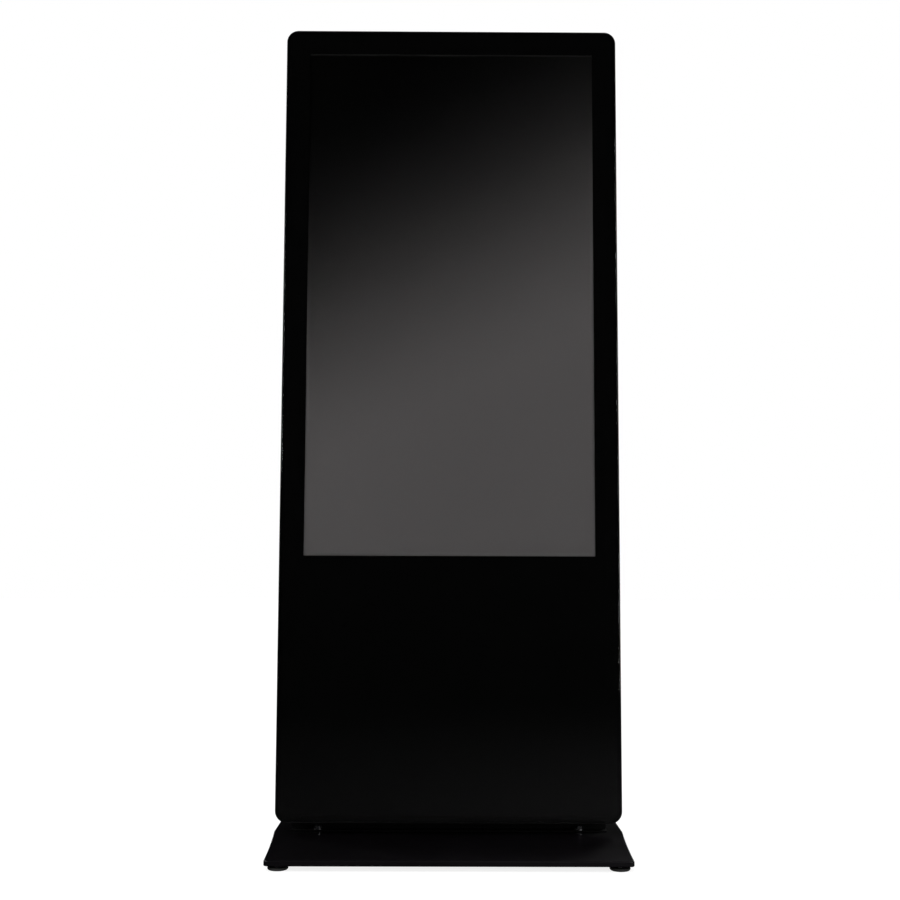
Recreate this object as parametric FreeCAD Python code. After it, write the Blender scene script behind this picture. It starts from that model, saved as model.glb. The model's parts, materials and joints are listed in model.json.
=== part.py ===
"""Floor-standing portrait touchscreen kiosk, as an assembly of separate pieces.

Millimetres, +Z up. The origin is on the floor under the middle of the base plate. The glass front is
the plane Y = 0 and faces -Y; the service side faces +Y.
"""
import FreeCAD, Part
import math
import os

V = FreeCAD.Vector
X_DIR = V(1, 0, 0)
Y_DIR = V(0, 1, 0)
Z_DIR = V(0, 0, 1)

# Display: a 55-inch class 16:9 panel turned upright.
PANEL_W = 680.4
PANEL_H = 1209.6

# Cabinet outline round the panel.
SIDE_BORDER = 56.8
TOP_BORDER = 56.4
LOWER_PANEL = 609.0
CORNER_R = 27.5
CAB_W = PANEL_W + 2 * SIDE_BORDER
CAB_H = TOP_BORDER + PANEL_H + LOWER_PANEL

# Base and the heights above the floor.
FOOT_VISIBLE = 11.0
PLATE_T = 12.0
UNDER_GAP = 28.5
PLATE_TOP = FOOT_VISIBLE + PLATE_T
CAB_Z0 = PLATE_TOP + UNDER_GAP
CAB_Z1 = CAB_Z0 + CAB_H
SCREEN_Z0 = CAB_Z0 + LOWER_PANEL
SCREEN_Z1 = SCREEN_Z0 + PANEL_H
SCREEN_ZC = (SCREEN_Z0 + SCREEN_Z1) / 2

PLATE_DEPTH = 500.0
PLATE_FRONT_HALF = 388.3
PLATE_WAIST_HALF = 394.8
PLATE_REAR_HALF = 405.3
PLATE_FLARE_END = 60.0
PLATE_CORNER_R = 10.0
PLATE_EDGE_R = 3.0

# Frame channel: a C section with its web outside and two lips inside.
FRAME_DEPTH = 44.0
FRAME_WALL = 2.5
LIP_T = 2.0
FRONT_LIP = 12.0
REAR_LIP = 14.0
RIM_R = 1.2
LIP_Y = 5.1

GLASS_T = 4.0
GLASS_GAP = 0.4
BORDER_T = 0.2

# Display module, layer by layer behind the glass.
MODULE_W = PANEL_W + 20.6
MODULE_H = PANEL_H + 21.4
MODULE_Y0 = 7.5
CELL_Y = (7.6, 9.0)
CELL_OVER = 5.0
DIFFUSER_Y = (9.3, 12.3)
DIFFUSER_OVER = 5.5
LEDGE_Y = 12.4
LEDGE_W = 10.0
TRAY_Y1 = 26.0
TRAY_T = 0.8
PANEL_SCREW_X = 230.0
PANEL_SCREW_R = 2.0
LED_BAR_L = 640.0
LED_BAR_H = 16.0
LED_BAR_T = 1.6
LENS_R = 6.0
LENS_T = 3.0

# Structure behind the display.
BAR_Y0 = 26.2
BAR_Y1 = 41.8
BAR_T = 2.0
BAR_H = 40.0
BAR_FLANGE = 12.0
BAR_HEIGHTS = {"lower": 690.0, "middle": 1265.0, "upper": 1760.0}
MAST_X = 300.0
MAST_W = 40.0
MAST_Y0 = 42.0
MAST_DEPTH = 30.0
MAST_T = 2.0
PAN_T = 4.0
PAN_Z0 = CAB_Z0 + 3.0
PAN_Z1 = PAN_Z0 + PAN_T

# Sheet-metal back: flat panels round a raised housing.
SHEET = 1.5
SCREW_R = 1.5
SCREW_L = 4.5
SCREW_HOLE_R = 1.6
BACK_Y = FRAME_DEPTH
COVER_Y = BACK_Y + SHEET
HOUSING_Y = 115.0
HOUSING_HALF = 350.0
HOUSING_SLOPE = 32.0
RIM_W = 14.0
HOUSING_TOP = CAB_Z1 - 54.5
DOOR_Z0 = 152.0
DOOR_Z1 = 650.0
DOOR_GAP = 2.0
DOOR_LIFT = 0.3
BEND_R = 4.0
RETURN_LIP = 22.0
SLOT_W = 3.6
SLOT_PITCH = 9.0
INTAKE_Z = 900.0

# Door hinge and lock.
HINGE_X = -368.5
HINGE_HEIGHTS = (240.0, 562.0)
PIN_R = 2.5
KNUCKLE_R = 4.2
HINGE_Y = COVER_Y + KNUCKLE_R + 0.3
RUNNING = 0.05
LOCK_X = 262.0
LOCK_Z = 400.0
LOCK_R = 9.5
CAM_Y = 90.0
CAM_T = 2.5
CAM_REACH = 40.0

# Controls at the back of the kiosk.
IO_Z = 105.0
IO_HALF_W = 125.0
IO_HALF_H = 33.0
IO_Y = 111.3
IO_T = 2.0
IO_LAP = 7.0
INLET_X = -78.0
INLET_W = 62.0
INLET_H = 31.0
INLET_Y = 88.0
ROCKER_X = -42.0
ROCKER_Y = 112.0
ROCKER_TILT = 9.0
BUTTON_X = 8.0
BUTTON_R = 6.0
PORTS_X = 66.0
PORTS_W = 62.0
PORTS_H = 20.0
PORTS_Y = 92.0

# Units inside: centre and size of each one.
SEAT_Y = FRAME_DEPTH + SHEET
PLAYER_X = -140.0
PLAYER_Z = 510.0
PLAYER_W = 200.0
PLAYER_H = 150.0
SUPPLY_X = 110.0
SUPPLY_Z = 520.0
SUPPLY_W = 215.0
SUPPLY_H = 114.0
SUPPLY_STRIP_Z = 446.0
TOUCH_X = -180.0
TOUCH_Z = 370.0
TOUCH_W = 90.0
TOUCH_H = 60.0

FAN_SIZE = 92.0
FAN_DEPTH = 25.0
FAN_X = 110.0
FAN_Z = 1765.0
FAN_Y1 = 113.2
SPEAKER_X = 200.0
SPEAKER_Z = 104.0

# Plinth and its bolts.
PLINTH_HALF = 368.0
PLINTH_T = 3.0
PLINTH_Y = (52.0, 76.0, 106.0, 130.0)
PLINTH_BOLT_X = 304.0
PLINTH_BOLT_Y = (64.0, 118.0)
PAN_BOLT_X = 194.0
BOLT_R = 5.0
BOLT_L = 12.0
BOLT_AF = 17.0
BOLT_HEAD = 6.4
WASHER_R = 10.0
WASHER_T = 2.0

FOOT_X = 360.0
FOOT_Y = 226.0
FOOT_R = 22.0
FOOT_PAD = 6.0
FOOT_STUD_R = 5.0
FOOT_HOLE_TOP = 20.0
FOOT_NUT_AF = 17.0
FOOT_NUT_T = 4.5

PARTS = {}


def add(name, shape):
    """Keep a finished piece under its node name."""
    PARTS[name] = shape


def box(x0, x1, y0, y1, z0, z1):
    return Part.makeBox(x1 - x0, y1 - y0, z1 - z0, V(x0, y0, z0))


def centred_box(xc, width, y0, y1, zc, height):
    return box(xc - width / 2, xc + width / 2, y0, y1, zc - height / 2, zc + height / 2)


def rod(radius, length, base, direction):
    return Part.makeCylinder(radius, length, base, direction)


def fuse(shapes):
    """Join overlapping or touching shapes into one clean solid."""
    return shapes[0].multiFuse(shapes[1:]).removeSplitter()


def straight_edges(shape, direction):
    """Straight edges of a shape that run along one axis."""
    found = []
    for edge in shape.Edges:
        if edge.Curve.TypeId != "Part::GeomLine":
            continue
        run = edge.Vertexes[-1].Point.sub(edge.Vertexes[0].Point)
        if abs(run.dot(direction)) > 0.999 * run.Length:
            found.append(edge)
    return found


def rounded_slab(x0, x1, y0, y1, z0, z1, radius):
    """A flat slab facing Y with four rounded corners."""
    slab = box(x0, x1, y0, y1, z0, z1)
    return slab.makeFillet(radius, straight_edges(slab, Y_DIR))


def prism(points, direction):
    """Extrude a closed outline of 3-D points along a vector."""
    return Part.Face(Part.makePolygon(points + points[:1])).extrude(direction)


def hexagon(across_flats, height, base, direction):
    """A hexagonal prism that stands on a base point."""
    corner = across_flats / math.sqrt(3)
    wire = Part.makePolygon([V(corner * math.cos(math.radians(60 * i)),
                               corner * math.sin(math.radians(60 * i)), 0) for i in range(7)])
    solid = Part.Face(wire).extrude(V(0, 0, height))
    solid.Placement = FreeCAD.Placement(base, FreeCAD.Rotation(Z_DIR, direction))
    return solid


def pan_screw(radius, length, seat, direction):
    """A pan-head screw: the head stands on its seat along direction, the shank runs the other way."""
    head_r = radius * 1.9
    head_h = radius * 1.2
    head = rod(head_r, head_h, seat, direction)
    head = head.makeFillet(head_h * 0.6, [head.Edges[0]])
    recess = hexagon(radius * 1.2, head_h * 0.5, seat + direction * (head_h * 0.5), direction)
    shank = rod(radius, length + head_h * 0.3, seat - direction * length, direction)
    return fuse([head, shank]).cut(recess)


# ---------------------------------------------------------------- front

def make_front():
    inset = FRAME_WALL + GLASS_GAP
    half = CAB_W / 2 - inset
    glass = rounded_slab(-half, half, 0, GLASS_T, CAB_Z0 + inset, CAB_Z1 - inset, CORNER_R - inset)
    front_edges = [e for e in glass.Edges if abs(e.BoundBox.YMax) < 1e-6]
    add("front_glass", glass.makeChamfer(0.5, front_edges))

    print_inset = inset + 0.3
    half = CAB_W / 2 - print_inset
    border = rounded_slab(-half, half, GLASS_T, GLASS_T + BORDER_T,
                          CAB_Z0 + print_inset, CAB_Z1 - print_inset, CORNER_R - print_inset)
    window = box(-PANEL_W / 2, PANEL_W / 2, 0, LIP_Y, SCREEN_Z0, SCREEN_Z1)
    add("black_border", border.cut(window))

    film_over = 10.0
    add("touch_sensor", box(-PANEL_W / 2 - film_over, PANEL_W / 2 + film_over,
                            GLASS_T + BORDER_T, GLASS_T + BORDER_T + 0.5,
                            SCREEN_Z0 - film_over, SCREEN_Z1 + film_over))

    tape_in = 3.5
    tape_w = 8.0
    tape_y0 = GLASS_T + BORDER_T
    x_out = CAB_W / 2 - tape_in
    z_low = CAB_Z0 + CORNER_R + 2
    z_high = CAB_Z1 - CORNER_R - 2
    x_end = CAB_W / 2 - CORNER_R - 2
    strips = []
    for side in (-1, 1):
        x_a, x_b = sorted((side * x_out, side * (x_out - tape_w)))
        strips.append(box(x_a, x_b, tape_y0, LIP_Y, z_low, z_high))
    strips.append(box(-x_end, x_end, tape_y0, LIP_Y, CAB_Z0 + tape_in, CAB_Z0 + tape_in + tape_w))
    strips.append(box(-x_end, x_end, tape_y0, LIP_Y, CAB_Z1 - tape_in - tape_w, CAB_Z1 - tape_in))
    add("glass_tape", Part.makeCompound(strips))


def make_display():
    for name, over, (y0, y1) in (("lcd_cell", CELL_OVER, CELL_Y), ("diffuser", DIFFUSER_OVER, DIFFUSER_Y)):
        add(name, centred_box(0, PANEL_W + 2 * over, y0, y1, SCREEN_ZC, PANEL_H + 2 * over))

    body_w = MODULE_W - 2 * LEDGE_W
    body_h = MODULE_H - 2 * LEDGE_W
    outer = centred_box(0, MODULE_W, MODULE_Y0, LEDGE_Y + TRAY_T, SCREEN_ZC, MODULE_H)
    outer = outer.fuse(centred_box(0, body_w, LEDGE_Y, TRAY_Y1, SCREEN_ZC, body_h))
    step = centred_box(0, MODULE_W - 2 * TRAY_T, 0, LEDGE_Y, SCREEN_ZC, MODULE_H - 2 * TRAY_T)
    well = centred_box(0, body_w - 2 * TRAY_T, 0, TRAY_Y1 - TRAY_T, SCREEN_ZC, body_h - 2 * TRAY_T)
    tray = outer.cut(step.fuse(well)).removeSplitter()
    add("backlight_tray", drill(tray, panel_screw_places(), PANEL_SCREW_R + 0.15, LEDGE_Y, TRAY_Y1 + 1))

    leg_t = 1.0
    outer_w = MODULE_W + 2 * leg_t + 0.2
    outer_h = MODULE_H + 2 * leg_t + 0.2
    cover = 9.8
    y_front = 6.4
    y_rear = 20.0
    ring = centred_box(0, outer_w, y_front, y_rear, SCREEN_ZC, outer_h)
    ring = ring.cut(centred_box(0, outer_w - 2 * leg_t, y_front + leg_t, y_rear, SCREEN_ZC, outer_h - 2 * leg_t))
    ring = ring.cut(centred_box(0, outer_w - 2 * cover, 0, y_rear, SCREEN_ZC, outer_h - 2 * cover))
    z_joint = outer_h / 2 - cover - 2
    side_cut = centred_box(0, outer_w + 2, 0, y_rear, SCREEN_ZC, 2 * z_joint)
    seam = 0.2
    sides = ring.common(side_cut)
    ends = ring.cut(centred_box(0, outer_w + 2, 0, y_rear, SCREEN_ZC, 2 * (z_joint + seam)))
    add("panel_retainers", Part.makeCompound(sides.Solids + ends.Solids))

    bars = []
    rows = 10
    lenses = 8
    floor_y = TRAY_Y1 - TRAY_T
    for row in range(rows):
        z = SCREEN_Z0 + PANEL_H * (row + 0.5) / rows
        pieces = [centred_box(0, LED_BAR_L, floor_y - LED_BAR_T, floor_y, z, LED_BAR_H)]
        for i in range(lenses):
            x = LED_BAR_L * ((i + 0.5) / lenses - 0.5)
            pieces.append(rod(LENS_R, LENS_T, V(x, floor_y - LED_BAR_T - LENS_T, z), Y_DIR))
        bars.append(fuse(pieces))
    add("led_bars", Part.makeCompound(bars))


def panel_screw_places():
    return [(x, z) for z in BAR_HEIGHTS.values() for x in (-PANEL_SCREW_X, PANEL_SCREW_X)]


# ---------------------------------------------------------------- frame

def channel_face(place):
    """The frame's C section; place turns (inward from the outer face, depth) into a point."""
    def line(a, b):
        return Part.makeLine(place(*a), place(*b))

    def rounded(a, b, centre):
        outward = V(a[0] + b[0] - 2 * centre[0], a[1] + b[1] - 2 * centre[1], 0).normalize() * RIM_R
        middle = (centre[0] + outward.x, centre[1] + outward.y)
        return Part.Arc(place(*a), place(*middle), place(*b)).toShape()

    depth = FRAME_DEPTH
    points = [(RIM_R, depth), (REAR_LIP, depth), (REAR_LIP, depth - LIP_T), (FRAME_WALL, depth - LIP_T),
              (FRAME_WALL, LIP_Y + LIP_T), (FRONT_LIP, LIP_Y + LIP_T), (FRONT_LIP, LIP_Y),
              (FRAME_WALL, LIP_Y), (FRAME_WALL, 0), (RIM_R, 0)]
    edges = [line(a, b) for a, b in zip(points, points[1:])]
    edges.append(rounded((RIM_R, 0), (0, RIM_R), (RIM_R, RIM_R)))
    edges.append(line((0, RIM_R), (0, depth - RIM_R)))
    edges.append(rounded((0, depth - RIM_R), (RIM_R, depth), (RIM_R, depth - RIM_R)))
    return Part.Face(Part.Wire(Part.__sortEdges__(edges)))


def rear_screw_places():
    """Screws along the rear lips: (x, z) of each one."""
    x = CAB_W / 2 - REAR_LIP / 2 - 1
    z_top = CAB_Z1 - REAR_LIP / 2 - 1
    margin = 60.0
    steps = 6
    rows = [CAB_Z0 + margin + i * (CAB_H - 2 * margin) / steps for i in range(steps + 1)]
    pitch = 150.0
    across = [pitch * i for i in range(-2, 3)]
    return [(s * x, z) for s in (-1, 1) for z in rows] + [(a, z_top) for a in across]


def drill(shape, places, radius, y0, y1):
    """Cut round holes along Y at a list of (x, z) places."""
    holes = [rod(radius, y1 - y0, V(x, y0, z), Y_DIR) for x, z in places]
    return shape.cut(Part.makeCompound(holes))


def make_frame():
    half = CAB_W / 2
    z0 = CAB_Z0 + CORNER_R
    z1 = CAB_Z1 - CORNER_R
    x1 = half - CORNER_R
    holes = rear_screw_places()

    left = channel_face(lambda u, y: V(-half + u, y, z0)).extrude(V(0, 0, z1 - z0))
    right = left.mirror(V(0, 0, 0), X_DIR)
    top = channel_face(lambda u, y: V(-x1, y, CAB_Z1 - u)).extrude(V(2 * x1, 0, 0))
    bottom = top.mirror(V(0, 0, (CAB_Z0 + CAB_Z1) / 2), Z_DIR)
    notch_w = MAST_W + 6
    notch_z = PAN_Z0
    for side in (-1, 1):
        bottom = bottom.cut(centred_box(side * MAST_X, notch_w, MAST_Y0 - 1, FRAME_DEPTH + 1, notch_z, 2 * REAR_LIP))
    for name, rail in (("left", left), ("right", right), ("top", top)):
        add("frame_" + name, drill(rail, holes, SCREW_HOLE_R, FRAME_DEPTH - LIP_T - 1, FRAME_DEPTH + 1))
    add("frame_bottom", bottom)

    section = channel_face(lambda u, y: V(-half + u, y, z1))
    bend = section.revolve(V(-x1, 0, z1), Y_DIR, 90)
    spigot_y0 = 12.0
    spigot_y1 = 36.0
    spigot_t = 3.0
    spigot_len = 25.0
    inner = FRAME_WALL + 0.1
    down = box(-half + inner, -half + inner + spigot_t, spigot_y0, spigot_y1, z1 - spigot_len, z1 + 8)
    across = box(-x1 - 8, -x1 + spigot_len, spigot_y0, spigot_y1, CAB_Z1 - inner - spigot_t, CAB_Z1 - inner)
    corner = fuse([bend, down, across])
    right_corner = corner.mirror(V(0, 0, 0), X_DIR)
    low = [c.mirror(V(0, 0, (CAB_Z0 + CAB_Z1) / 2), Z_DIR) for c in (corner, right_corner)]
    add("frame_corners", Part.makeCompound([corner, right_corner] + low))


def make_structure():
    x_end = CAB_W / 2 - FRAME_WALL - 0.3
    inner = BAR_H / 2
    outer = inner + BAR_FLANGE
    for name, z in BAR_HEIGHTS.items():
        front_side = [(BAR_Y1, -outer), (BAR_Y1 - BAR_T, -outer), (BAR_Y1 - BAR_T, -inner), (BAR_Y0, -inner),
                      (BAR_Y0, inner), (BAR_Y1 - BAR_T, inner), (BAR_Y1 - BAR_T, outer), (BAR_Y1, outer)]
        rear_side = [(BAR_Y1, inner - BAR_T), (BAR_Y0 + BAR_T, inner - BAR_T),
                     (BAR_Y0 + BAR_T, -inner + BAR_T), (BAR_Y1, -inner + BAR_T)]
        bar = prism([V(-x_end, y, z + up) for y, up in front_side + rear_side], V(2 * x_end, 0, 0))
        places = [(x, height) for x, height in panel_screw_places() if height == z]
        add("crossbar_" + name, drill(bar, places, PANEL_SCREW_R + 0.15, BAR_Y0 - 1, BAR_Y0 + BAR_T + 1))
    screw_l = 5.5
    add("panel_screws", Part.makeCompound(
        [pan_screw(PANEL_SCREW_R, screw_l, V(x, BAR_Y0 + BAR_T, z), Y_DIR) for x, z in panel_screw_places()]))

    mast_top = BAR_HEIGHTS["upper"] + BAR_H / 2
    for name, side in (("left", -1), ("right", 1)):
        tube = centred_box(side * MAST_X, MAST_W, MAST_Y0, MAST_Y0 + MAST_DEPTH,
                           (PAN_Z1 + mast_top) / 2, mast_top - PAN_Z1)
        tube = tube.makeFillet(3.0, straight_edges(tube, Z_DIR))
        hollow = centred_box(side * MAST_X, MAST_W - 2 * MAST_T, MAST_Y0 + MAST_T,
                             MAST_Y0 + MAST_DEPTH - MAST_T, (PAN_Z1 + mast_top) / 2, mast_top)
        add("mast_" + name, tube.cut(hollow))

    clear = SHEET + 0.8
    y0 = COVER_Y + 0.2
    y1 = HOUSING_Y - 4.0
    half0 = housing_half(COVER_Y) - clear
    half1 = housing_half(y1) - clear
    pan = prism([V(-half0, y0, PAN_Z0), V(half0, y0, PAN_Z0), V(half1, y1, PAN_Z0), V(-half1, y1, PAN_Z0)],
                V(0, 0, PAN_T))
    for side in (-1, 1):
        pan = pan.cut(rod(BOLT_R + RUNNING, PAN_T, V(side * PAN_BOLT_X, plinth_mid_y(), PAN_Z0), Z_DIR))
    add("floor_pan", pan)


# ---------------------------------------------------------------- back

def housing_half(y):
    """Half width of the raised housing's outside at a depth."""
    return HOUSING_HALF - HOUSING_SLOPE * (y - COVER_Y) / (HOUSING_Y - COVER_Y)


def housing_block(z0, z1, grow, top_slope):
    """A solid the shape of the raised housing; grow of -SHEET gives its inside."""
    y0 = COVER_Y - (0 if grow == 0 else 1)
    y1 = HOUSING_Y + grow
    side = grow * 1.1

    def outline(y):
        half = housing_half(y) + side
        top = z1 - top_slope * (y - COVER_Y) / (HOUSING_Y - COVER_Y)
        corners = [V(-half, y, z0), V(half, y, z0), V(half, y, top), V(-half, y, top)]
        return Part.makePolygon(corners + corners[:1])

    return Part.makeLoft([outline(y0), outline(y1)], True, True)


def folded_pan(z0, z1, top_slope, wall_low, wall_high):
    """A folded sheet cover: raised back, sloped sides and shallow return lips at the walled ends."""
    outer = housing_block(z0, z1, 0, top_slope)
    bends = [e for e in outer.Edges if min(v.Point.y for v in e.Vertexes) > HOUSING_Y - 1e-3
             and keeps_bend(e, z0, z1, top_slope)]
    outer = outer.makeFillet(BEND_R, bends)
    low = z0 + SHEET if wall_low else z0 - 1
    high = z1 - SHEET * 1.1 if wall_high else z1 + 1
    inner = housing_block(low, high, -SHEET, top_slope)
    inner_bends = [e for e in inner.Edges if min(v.Point.y for v in e.Vertexes) > HOUSING_Y - SHEET - 1e-3
                   and keeps_bend(e, low, high, top_slope)]
    shell = outer.cut(inner.makeFillet(BEND_R - SHEET, inner_bends))
    open_top = high if top_slope > 0 else z1 + 1
    through = housing_block(z0 - 1, open_top, -SHEET, top_slope)
    deep_side = box(-HOUSING_HALF, HOUSING_HALF, 0, HOUSING_Y - RETURN_LIP, z0 - 2, z1 + 2)
    return shell.cut(through.common(deep_side))


def keeps_bend(edge, z0, z1, top_slope):
    """Side bends always; the top bend only where the top slopes."""
    heights = [v.Point.z for v in edge.Vertexes]
    if abs(heights[0] - heights[1]) > 1:
        return True
    return top_slope > 0 and heights[0] > (z0 + z1) / 2


def side_rim(side, y0, z0, z1):
    x_a, x_b = sorted((side * (HOUSING_HALF - SHEET), side * (HOUSING_HALF + RIM_W)))
    return box(x_a, x_b, y0, y0 + SHEET, z0, z1)


def slots(xc, zc, columns, rows, height, row_pitch=0.0):
    """Cutters for a field of upright round-ended slots through the housing's back."""
    y0 = HOUSING_Y - 2 * SHEET
    y1 = HOUSING_Y + SHEET
    first = rounded_slab(-SLOT_W / 2, SLOT_W / 2, y0, y1, -height / 2, height / 2, SLOT_W * 0.49)
    cutters = []
    for column in range(columns):
        for row in range(rows):
            slot = first.copy()
            slot.translate(V(xc + (column - (columns - 1) / 2) * SLOT_PITCH, 0,
                             zc + (row - (rows - 1) / 2) * row_pitch))
            cutters.append(slot)
    return cutters


def make_back():
    inset = 1.7
    half = CAB_W / 2 - inset
    inner = HOUSING_HALF - RIM_W
    split_z = HOUSING_TOP - RIM_W
    sheet = rounded_slab(-half, half, BACK_Y, COVER_Y, CAB_Z0 + inset, CAB_Z1 - inset, CORNER_R - inset)
    panel_screws = rear_screw_places()
    rim_screws = cover_screw_places()
    seam = 0.2
    top = sheet.common(box(-half, half, BACK_Y, COVER_Y, split_z + seam, CAB_Z1))
    left = sheet.common(box(-half, -inner, BACK_Y, COVER_Y, CAB_Z0, split_z - seam))
    right = left.mirror(V(0, 0, 0), X_DIR)
    for name, panel in (("top", top), ("left", left), ("right", right)):
        add("rear_panel_" + name, drill(panel, panel_screws + rim_screws, SCREW_HOLE_R, BACK_Y - 1, COVER_Y + 1))

    upper_z0 = DOOR_Z1 + DOOR_GAP
    cover = folded_pan(upper_z0, HOUSING_TOP, HOUSING_SLOPE, True, True)
    rims = [side_rim(s, COVER_Y, upper_z0, HOUSING_TOP + RIM_W) for s in (-1, 1)]
    rims.append(box(-HOUSING_HALF - RIM_W, HOUSING_HALF + RIM_W, COVER_Y, COVER_Y + SHEET,
                    HOUSING_TOP - SHEET, HOUSING_TOP + RIM_W))
    cover = fuse([cover] + rims)
    vent_h = 40.0
    vents = []
    for x in (-FAN_X, FAN_X):
        vents += slots(x, FAN_Z, 9, 2, vent_h, vent_h + 6)
    vents += slots(0, INTAKE_Z, 24, 2, vent_h, vent_h + 10)
    cover = cover.cut(Part.makeCompound(vents))
    add("upper_rear_cover", drill(cover, rim_screws, SCREW_HOLE_R, BACK_Y, COVER_Y + 2 * SHEET))

    lower_z1 = DOOR_Z0 - DOOR_GAP
    lower_z0 = PAN_Z0 + 0.2
    lower = folded_pan(lower_z0, lower_z1, 0, False, True)
    lower = fuse([lower] + [side_rim(s, COVER_Y, lower_z0, lower_z1) for s in (-1, 1)])
    grille_h = 44.0
    grilles = []
    for x in (-SPEAKER_X, SPEAKER_X):
        grilles += slots(x, IO_Z, 9, 1, grille_h)
    lower = lower.cut(Part.makeCompound(grilles))
    window = centred_box(0, 2 * (IO_HALF_W - IO_LAP), COVER_Y, HOUSING_Y + 1, IO_Z, 2 * (IO_HALF_H - IO_LAP))
    lower = lower.cut(window.makeFillet(4.0, straight_edges(window, Y_DIR)))
    add("lower_rear_cover", drill(lower, rim_screws, SCREW_HOLE_R, BACK_Y, COVER_Y + 2 * SHEET))

    screws = [pan_screw(SCREW_R, SCREW_L, V(x, COVER_Y, z), Y_DIR) for x, z in panel_screws]
    screws += [pan_screw(SCREW_R, SCREW_L, V(x, COVER_Y + SHEET, z), Y_DIR) for x, z in rim_screws]
    add("rear_screws", Part.makeCompound(screws))


def cover_screw_places():
    """Screws through the rims of the two fixed covers: (x, z) of each one."""
    x = HOUSING_HALF + RIM_W / 2 + 0.5
    low_rows = [CAB_Z0 + 20, DOOR_Z0 - 22]
    row_pitch = 230.0
    across_pitch = 140.0
    rows = low_rows + [DOOR_Z1 + 50 + i * row_pitch for i in range(6)]
    across = [across_pitch * i for i in range(-2, 3)]
    return [(s * x, z) for s in (-1, 1) for z in rows] + [(a, HOUSING_TOP + RIM_W / 2) for a in across]


def make_door():
    z0 = DOOR_Z0
    z1 = DOOR_Z1
    y_rim = COVER_Y + DOOR_LIFT
    shell = folded_pan(z0, z1, 0, True, True)
    shell = shell.cut(box(-HOUSING_HALF, HOUSING_HALF, COVER_Y - 1, y_rim, z0 - 1, z1 + 1))
    shell = fuse([shell] + [side_rim(s, y_rim, z0, z1) for s in (-1, 1)])
    vent_x = 150.0
    vent_z = 230.0
    vent_h = 60.0
    vents = [slot for x in (-vent_x, vent_x) for slot in slots(x, vent_z, 14, 1, vent_h)]
    lock_hole = rod(LOCK_R + 0.1, 4 * SHEET, V(LOCK_X, HOUSING_Y - 2 * SHEET, LOCK_Z), Y_DIR)
    add("service_door", shell.cut(Part.makeCompound(vents + [lock_hole])))

    fixed = []
    leaves = []
    pins = []
    knuckle = 20.0
    gap = 0.5
    leaf_t = 1.5
    for z in HINGE_HEIGHTS:
        axis = V(HINGE_X, HINGE_Y, 0)
        low = rod(KNUCKLE_R, knuckle, axis + V(0, 0, z - 1.5 * knuckle), Z_DIR)
        high = rod(KNUCKLE_R, knuckle, axis + V(0, 0, z + 0.5 * knuckle), Z_DIR)
        plate = box(HINGE_X - knuckle, HINGE_X, COVER_Y, COVER_Y + leaf_t, z - 1.5 * knuckle, z + 1.5 * knuckle)
        window = box(HINGE_X - KNUCKLE_R - 1, HINGE_X + 1, COVER_Y - 1, HINGE_Y + 6,
                     z - 0.5 * knuckle, z + 0.5 * knuckle)
        bore = rod(PIN_R, 4 * knuckle, axis + V(0, 0, z - 2 * knuckle), Z_DIR)
        fixed.append(fuse([plate.cut(window), low, high]).cut(bore))
        middle = rod(KNUCKLE_R, knuckle - 2 * gap, axis + V(0, 0, z - 0.5 * knuckle + gap), Z_DIR)
        arm = box(HINGE_X, -HOUSING_HALF - 1, y_rim + SHEET, y_rim + SHEET + leaf_t,
                  z - 0.5 * knuckle + gap, z + 0.5 * knuckle - gap)
        bore = rod(PIN_R + RUNNING, 4 * knuckle, axis + V(0, 0, z - 2 * knuckle), Z_DIR)
        leaves.append(fuse([middle, arm]).cut(bore))
        pins.append(rod(PIN_R, 3 * knuckle, axis + V(0, 0, z - 1.5 * knuckle), Z_DIR))
    add("hinge_fixed_leaves", Part.makeCompound(fixed))
    add("hinge_door_leaves", Part.makeCompound(leaves))
    add("hinge_pins", Part.makeCompound(pins))

    make_lock()


def make_lock():
    """A cam lock in the door, and the keeper that its cam turns behind."""
    core_r = 6.5
    stem_r = 3.5
    flange_t = 1.4
    nut_t = 3.0
    body_y = 95.0
    plug_y = body_y - 2
    face_y = HOUSING_Y + 1.5

    def along(radius, y0, y1):
        return rod(radius, y1 - y0, V(LOCK_X, y0, LOCK_Z), Y_DIR)

    flange = along(LOCK_R + 2.5, HOUSING_Y, HOUSING_Y + flange_t)
    nut = hexagon(2.5 * LOCK_R, nut_t, V(LOCK_X, HOUSING_Y - SHEET - nut_t, LOCK_Z), Y_DIR)
    body = fuse([along(LOCK_R, body_y, face_y), flange, nut])
    add("lock_housing", body.cut(along(core_r + RUNNING, body_y - 1, face_y + 1)))
    key_slot = centred_box(LOCK_X, 1.6, face_y - 4, face_y, LOCK_Z, 7.5)
    plug = fuse([along(core_r, plug_y, face_y - 0.3), along(stem_r, CAM_Y - 2, plug_y)])
    add("lock_plug", plug.cut(key_slot))
    cam_w = 12.0
    cam = box(LOCK_X - cam_w / 2, LOCK_X + cam_w / 2, CAM_Y, CAM_Y + CAM_T, LOCK_Z - CAM_REACH, LOCK_Z + 8)
    cam = cam.makeFillet(5.0, straight_edges(cam, Y_DIR))
    add("lock_cam", cam.cut(along(stem_r, CAM_Y - 1, CAM_Y + CAM_T + 1)))

    keeper_t = 2.5
    half = 15.0
    mast_rear = MAST_Y0 + MAST_DEPTH
    tab_y = CAM_Y + CAM_T + 1.5
    foot = centred_box(MAST_X, 2 * half, mast_rear, mast_rear + keeper_t, LOCK_Z, 50.0)
    post = box(MAST_X + half - keeper_t, MAST_X + half, mast_rear, tab_y + keeper_t, LOCK_Z - half, LOCK_Z + half)
    tab = box(MAST_X - half + 1, MAST_X + half, tab_y, tab_y + keeper_t, LOCK_Z - half, LOCK_Z + half)
    add("lock_keeper", fuse([foot, post, tab]))


# ---------------------------------------------------------------- controls

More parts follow.
